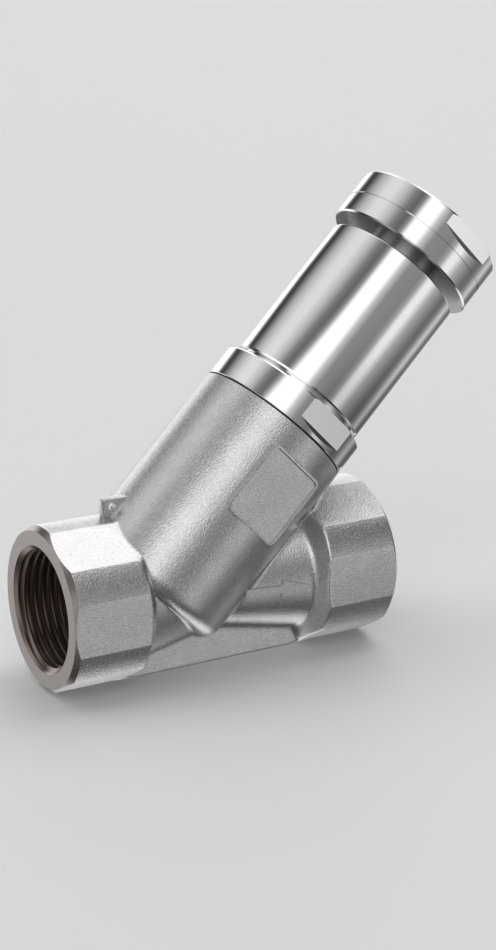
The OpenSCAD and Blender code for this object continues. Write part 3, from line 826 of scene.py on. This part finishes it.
# Collar: turned and polished steel, screwed into the boss, with two wrench
# flats that run out in a slope, the spindle's guide bore and the joint for
# the spring housing.
COLLAR_R = 17.1 * mm
COLLAR_START = 44.1 * mm
COLLAR_TOP = 50.9 * mm
COLLAR_EDGE = 0.35 * mm
COLLAR_FLAT_START = 46.0 * mm
COLLAR_FLAT_DEPTH = 1.1 * mm
SPIGOT_START = 34.2 * mm
SPIGOT_R = 13.2 * mm
SPINDLE_HOLE_R = 4.3 * mm
JOINT_R = 13.8 * mm
JOINT_TOP = 58.2 * mm
RECESS_R = 11.2 * mm
RECESS_START = 48.9 * mm
GUIDE_R = 6.0 * mm
GUIDE_START = 35.7 * mm
SLIGHT_EDGE = 0.1 * mm
TURNED_STEPS = 256
TURNED_SMOOTH = radians(16)
collar = lathe([(SPIGOT_START, SPINDLE_HOLE_R), (SPIGOT_START, SPIGOT_R), (BOSS_LENGTH, SPIGOT_R),
                (COLLAR_START, SPIGOT_R), (COLLAR_START, COLLAR_R - SLIGHT_EDGE),
                (COLLAR_START + SLIGHT_EDGE, COLLAR_R), (COLLAR_TOP - COLLAR_EDGE, COLLAR_R),
                (COLLAR_TOP, COLLAR_R - COLLAR_EDGE), (COLLAR_TOP, JOINT_R), (JOINT_TOP, JOINT_R),
                (JOINT_TOP, RECESS_R), (RECESS_START, RECESS_R), (RECESS_START, GUIDE_R),
                (GUIDE_START, GUIDE_R), (GUIDE_START, SPINDLE_HOLE_R), (SPIGOT_START, SPINDLE_HOLE_R)],
               BONNET_START, BONNET_TURN, TURNED_STEPS)
collar.name = "collar_polished"


def cut_flats(obj, radius, depth, start, top):
    """Cuts two opposite wrench flats that end below in a slope of 45 degrees."""
    flat = radius - depth
    for side in (-1, 1):
        bpy.ops.mesh.primitive_cube_add(size=1)
        cutter = bpy.context.object
        bpy.ops.object.mode_set(mode="EDIT")
        shape = bmesh.from_edit_mesh(cutter.data)
        for corner in shape.verts:
            outer = corner.co.y > 0
            upper = corner.co.z > 0
            out = radius + OVER if outer else flat
            foot = start - depth - OVER if outer else start
            corner.co = Vector((corner.co.x * 3 * radius, side * out, top + OVER if upper else foot))
        bmesh.update_edit_mesh(cutter.data)
        bpy.ops.object.mode_set(mode="OBJECT")
        clean(cutter)
        cutter.location = BONNET_START
        cutter.rotation_euler = BONNET_TURN
        settle(cutter)
        combine(obj, cutter, "DIFFERENCE")


def finish_turned(obj, flat=1, flat_start=0):
    """Smooths turned walls, and keeps flats at a distance from the axis, and their slopes, flat."""
    clean(obj, 1e-6)
    bpy.ops.object.shade_smooth_by_angle(angle=TURNED_SMOOTH)
    for face in obj.data.polygons:
        sideways = abs(face.normal.y)
        on_flat = sideways > 0.999 and abs(abs(face.center.y) - flat) < NEAR
        rising = sideways > 0.5 and face.normal.dot(BONNET) > 0.5
        on_slope = rising and bonnet_height(face.center) < flat_start
        if on_flat or on_slope:
            face.use_smooth = False


cut_flats(collar, COLLAR_R, COLLAR_FLAT_DEPTH, COLLAR_FLAT_START, COLLAR_TOP)
finish_turned(collar, COLLAR_R - COLLAR_FLAT_DEPTH, COLLAR_FLAT_START)


def lines_along_bonnet(look, links, shader, lines, depth):
    """The turning lines of a piece that is turned about the bonnet's axis."""
    where = look.new("ShaderNodeTexCoord")
    height = look.new("ShaderNodeVectorMath")
    height.operation = "DOT_PRODUCT"
    height.inputs[1].default_value = BONNET
    links.new(where.outputs["Object"], height.inputs[0])
    machine_lines(look, links, shader, height.outputs["Value"], lines, depth)


polished_steel, look, links, shader = new_material("polished_steel", (0.82, 0.808, 0.812), metallic=1,
                                                   roughness=0.07)
lines_along_bonnet(look, links, shader, lines=9000, depth=0.0006 * mm)
dress(collar, polished_steel)
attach(collar, "housing")
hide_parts("bonnet_collar")

# Soft rings: the O-ring of the spigot, the two of the spindle, the one of the
# housing's joint and the one that wipes the adjusting screw.
rubber, look, links, shader = new_material("rubber", (0.025, 0.025, 0.027), metallic=0, roughness=0.5)
speckle(look, links, shader, scale=2500, depth=0.01 * mm)
for ring_name in ("spigot_seal", "stem_seals", "housing_seal", "cap_seal"):
    paint(ring_name, rubber)

# Bronze guide bush, gland ring over the spindle's seals, and thrust washer.
bronze, look, links, shader = new_material("bronze", (0.62, 0.42, 0.22), metallic=1, roughness=0.34)
lines_along_bonnet(look, links, shader, lines=6000, depth=0.002 * mm)
for part_name in ("guide_bush", "gland_ring", "thrust_washer"):
    paint(part_name, bronze)

# Plain turned steel of the spindle with its disc, washer and nut, the spring
# plates and the two sprung rings.
turned_steel, look, links, shader = new_material("turned_steel", (0.66, 0.655, 0.65), metallic=1,
                                                 roughness=0.28)
lines_along_bonnet(look, links, shader, lines=7000, depth=0.002 * mm)
for part_name in ("spindle", "valve_disc", "seal_washer", "disc_nut", "lower_spring_plate",
                  "upper_spring_plate", "gland_circlip", "plate_circlip"):
    paint(part_name, turned_steel)

# Soft seal of the valve disc.
seal_plastic, look, links, shader = new_material("seal_plastic", (0.80, 0.79, 0.75), metallic=0,
                                                 roughness=0.45)
speckle(look, links, shader, scale=1500, depth=0.01 * mm)
paint("disc_seal", seal_plastic)

# Pressure spring, cold coiled from round wire with one closed turn at each
# end, built as a lower and an upper half.
WIRE_R = 1.2 * mm
COIL_R = 9.2 * mm
FREE_TURNS = 3
SPRING_START = 52.9 * mm
SPRING_END = 73.4 * mm
SPRING_GAP = 0.02 * mm
CLOSED_PITCH = 2.04 * WIRE_R
WIRE_STEPS_PER_TURN = 48
WIRE_SMOOTH = radians(40)
AWAY = Vector((0, -1, 0))
ACROSS = BONNET.cross(AWAY)
coil_low = SPRING_START + WIRE_R + SPRING_GAP
coil_high = SPRING_END - WIRE_R - SPRING_GAP
free_pitch = (coil_high - coil_low - 2 * CLOSED_PITCH) / FREE_TURNS
all_turns = FREE_TURNS + 2


def coil_point(turns):
    """The middle of the wire after some turns from the lower end."""
    if turns < 1:
        height = coil_low + CLOSED_PITCH * turns
    elif turns < 1 + FREE_TURNS:
        height = coil_low + CLOSED_PITCH + free_pitch * (turns - 1)
    else:
        height = coil_high - CLOSED_PITCH * (all_turns - turns)
    angle = 2 * pi * turns
    return on_bonnet(height) + (AWAY * sin(angle) + ACROSS * cos(angle)) * COIL_R


def coil(name, first_turn, last_turn):
    """Round wire along the coil between two turns."""
    steps = round((last_turn - first_turn) * WIRE_STEPS_PER_TURN)
    curve = bpy.data.curves.new(name, "CURVE")
    curve.dimensions = "3D"
    curve.bevel_depth = WIRE_R
    curve.bevel_resolution = 4
    curve.use_fill_caps = True
    spline = curve.splines.new("POLY")
    spline.points.add(steps)
    for i, point in enumerate(spline.points):
        point.co = (*coil_point(first_turn + (last_turn - first_turn) * i / steps), 1)
    obj = bpy.data.objects.new(name, curve)
    bpy.context.collection.objects.link(obj)
    pick(obj)
    bpy.ops.object.convert(target="MESH")
    obj = clean(bpy.context.object)
    bpy.ops.object.shade_smooth_by_angle(angle=WIRE_SMOOTH)
    return obj


spring_steel, look, links, shader = new_material("spring_steel", (0.50, 0.50, 0.51), metallic=1,
                                                 roughness=0.32)
speckle(look, links, shader, scale=4000, depth=0.004 * mm)
spring_lower = coil("spring_lower", 0, all_turns / 2)
spring_upper = coil("spring_upper", all_turns / 2, all_turns)
for half in (spring_lower, spring_upper):
    dress(half, spring_steel)
    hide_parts("pressure_spring")
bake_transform(spring_lower)
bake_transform(spring_upper)

# Spring housing: a polished tube that slips over the collar's joint. Its
# rounded upper rim ends in a wall that the adjusting screw runs in.
HOUSING_R = 15.3 * mm
HOUSING_START = 52.2 * mm
RIM = 85.9 * mm
RIM_ROUND = 0.5 * mm
FOOT_EDGE = 0.35 * mm
HOUSING_BORE_R = 12.1 * mm
END_WALL = 79.9 * mm
SCREW_R = 8.0 * mm
FIT = 0.1 * mm
SLIP_BORE_R = JOINT_R + FIT
SLIP_BORE_END = JOINT_TOP + 0.3 * mm
RIM_ANGLES = range(0, 91, 15)
round_start = RIM - RIM_ROUND
round_r = HOUSING_R - RIM_ROUND
rim_arc = [(round_start + RIM_ROUND * sin(radians(a)), round_r + RIM_ROUND * cos(radians(a)))
           for a in RIM_ANGLES]
housing = lathe([(HOUSING_START, SLIP_BORE_R), (HOUSING_START, HOUSING_R - FOOT_EDGE),
                 (HOUSING_START + FOOT_EDGE, HOUSING_R), (round_start - SLIGHT_EDGE, HOUSING_R), *rim_arc,
                 (RIM, round_r - SLIGHT_EDGE), (RIM, SCREW_R + FIT), (END_WALL, SCREW_R + FIT),
                 (END_WALL, HOUSING_BORE_R), (SLIP_BORE_END, HOUSING_BORE_R), (SLIP_BORE_END, SLIP_BORE_R),
                 (HOUSING_START, SLIP_BORE_R)], BONNET_START, BONNET_TURN, TURNED_STEPS)
housing.name = "housing_polished"
finish_turned(housing)
# Duller turned steel of the housing's top wall and bore and of the cap's underside and screw; its darker
# colour is painted shade in the gap under the cap.
gap_shaded_turned, look, links, shader = new_material("gap_shaded_turned", (0.58, 0.57, 0.575), metallic=1,
                                                 roughness=0.25)
lines_along_bonnet(look, links, shader, lines=5000, depth=0.002 * mm)
dress(housing, polished_steel, gap_shaded_turned)
GAP_SHADED = 1
# The housing's top wall and bore take the painted shade of the gap.
for face in housing.data.polygons:
    if bonnet_height(face.center) > RIM - NEAR or bonnet_radius(face.center) < HOUSING_BORE_R + NEAR:
        face.material_index = GAP_SHADED
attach(housing, "housing")
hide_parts("spring_housing")

# Adjusting cap: a polished head with a fine groove and two wrench flats on a
# hollow screw that presses the spring down.
CAP_R = 16.9 * mm
CAP_START = 88.1 * mm
CAP_TOP = 99.2 * mm
CAP_FOOT_EDGE = 0.3 * mm
CAP_TOP_EDGE = 0.6 * mm
CAP_GROOVE = 93.1 * mm
CAP_GROOVE_WIDTH = 0.25 * mm
CAP_GROOVE_DEPTH = 0.45 * mm
CAP_FLAT_LENGTH = 3.0 * mm
CAP_FLAT_DEPTH = 1.4 * mm
SCREW_TIP = 76.6 * mm
SCREW_TIP_EDGE = 0.8 * mm
SCREW_BORE_R = 4.5 * mm
SCREW_BORE_END = 96.9 * mm
groove_low = CAP_GROOVE - CAP_GROOVE_WIDTH / 2
groove_high = CAP_GROOVE + CAP_GROOVE_WIDTH / 2
groove_r = CAP_R - CAP_GROOVE_DEPTH
cap_flat_start = CAP_TOP - CAP_FLAT_LENGTH
cap = lathe([(SCREW_TIP, SCREW_BORE_R), (SCREW_TIP, SCREW_R - SCREW_TIP_EDGE),
             (SCREW_TIP + SCREW_TIP_EDGE, SCREW_R), (CAP_START, SCREW_R), (CAP_START, CAP_R - CAP_FOOT_EDGE),
             (CAP_START + CAP_FOOT_EDGE, CAP_R), (groove_low, CAP_R), (groove_low, groove_r),
             (groove_high, groove_r), (groove_high, CAP_R), (CAP_TOP - CAP_TOP_EDGE, CAP_R),
             (CAP_TOP, CAP_R - CAP_TOP_EDGE), (CAP_TOP, 0), (SCREW_BORE_END, 0),
             (SCREW_BORE_END, SCREW_BORE_R), (SCREW_TIP, SCREW_BORE_R)],
            BONNET_START, BONNET_TURN, TURNED_STEPS)
cap.name = "cap_polished"
cut_flats(cap, CAP_R, CAP_FLAT_DEPTH, cap_flat_start, CAP_TOP)
finish_turned(cap, CAP_R - CAP_FLAT_DEPTH, cap_flat_start)
dress(cap, polished_steel, gap_shaded_turned)
# The cap's underside and screw take the painted shade of the gap.
for face in cap.data.polygons:
    if bonnet_height(face.center) < CAP_START + NEAR:
        face.material_index = GAP_SHADED
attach(cap, "cap")
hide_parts("adjusting_cap")

bpy.context.scene.view_settings.view_transform = "Standard"
